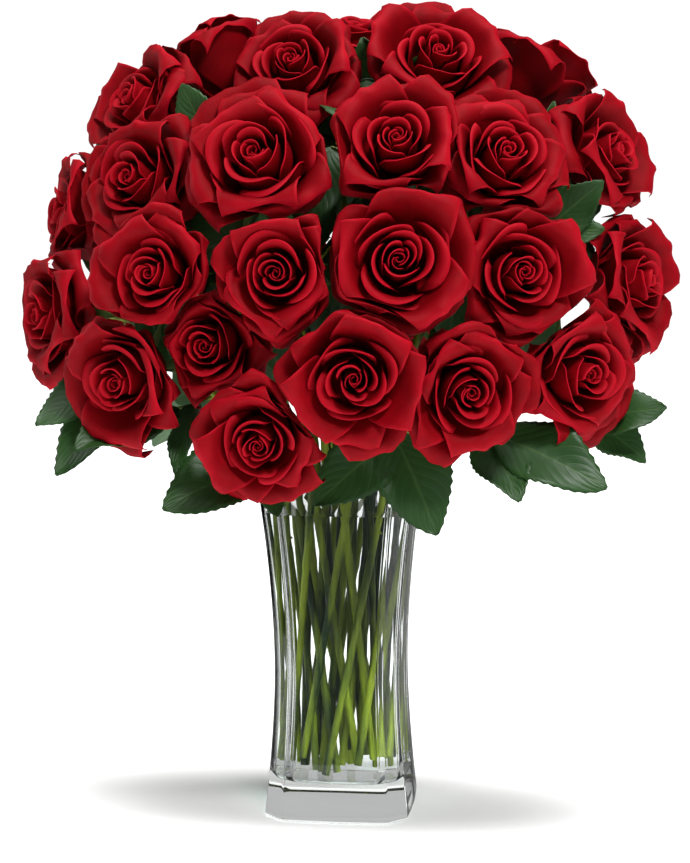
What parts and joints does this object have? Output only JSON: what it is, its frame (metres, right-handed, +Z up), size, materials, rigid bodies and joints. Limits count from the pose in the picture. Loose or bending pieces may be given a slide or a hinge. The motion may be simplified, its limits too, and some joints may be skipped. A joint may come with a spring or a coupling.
{
  "type": "roses in a vase",
  "caption": "Full round bouquet of deep red long-stemmed roses with their own leaves, standing with crossed stems in a clear, heavy, square glass vase with a narrow waist.",
  "frame": {"origin": "centre of the vase's foot, on the surface that it stands on", "axes": "+Z up; -Y towards the flat front face of the vase, with the bouquet's best side turned 6.5 degrees from it towards +X; +X to the viewer's right"},
  "size_m": [0.471, 0.3407, 0.585],
  "materials": {
    "glass": "clear, polished",
    "petals": "velvety, deep crimson, lighter at the rolled edges",
    "stems": "satin green, waxy",
    "leaves": "semi-gloss dark green above, matt and paler below"
  },
  "bodies": {
    "root": {"vase": "glass", "bloom_01": "petals", "bloom_02": "petals", "bloom_03": "petals", "bloom_04": "petals", "bloom_05": "petals", "bloom_06": "petals", "bloom_07": "petals", "bloom_08": "petals", "bloom_09": "petals", "bloom_10": "petals", "bloom_11": "petals", "bloom_12": "petals", "bloom_13": "petals", "bloom_14": "petals", "bloom_15": "petals", "bloom_16": "petals", "bloom_17": "petals", "bloom_18": "petals", "bloom_19": "petals", "bloom_20": "petals", "stem_01": "stems", "stem_02": "stems", "stem_03": "stems", "stem_04": "stems", "stem_05": "stems", "stem_06": "stems", "stem_07": "stems", "stem_08": "stems", "stem_09": "stems", "stem_10": "stems", "stem_11": "stems", "stem_12": "stems", "stem_13": "stems", "stem_14": "stems", "stem_15": "stems", "stem_16": "stems", "stem_17": "stems", "stem_18": "stems", "stem_19": "stems", "stem_20": "stems", "rose_back_1": "petals", "rose_back_2": "petals", "rose_back_3": "petals", "rose_back_4": "petals", "rose_back_5": "petals", "rose_back_6": "petals", "rose_back_7": "petals", "rose_back_8": "petals", "rose_back_9": "petals", "rose_back_10": "petals", "leaf_left": "leaves", "leaf_front_left": "leaves", "leaf_front": "leaves", "leaf_front_right": "leaves", "leaf_right": "leaves", "leaf_upper_left": "leaves", "leaf_upper_right": "leaves", "leaf_back_left": "leaves", "leaf_back_right": "leaves"}
  },
  "joints": []
}
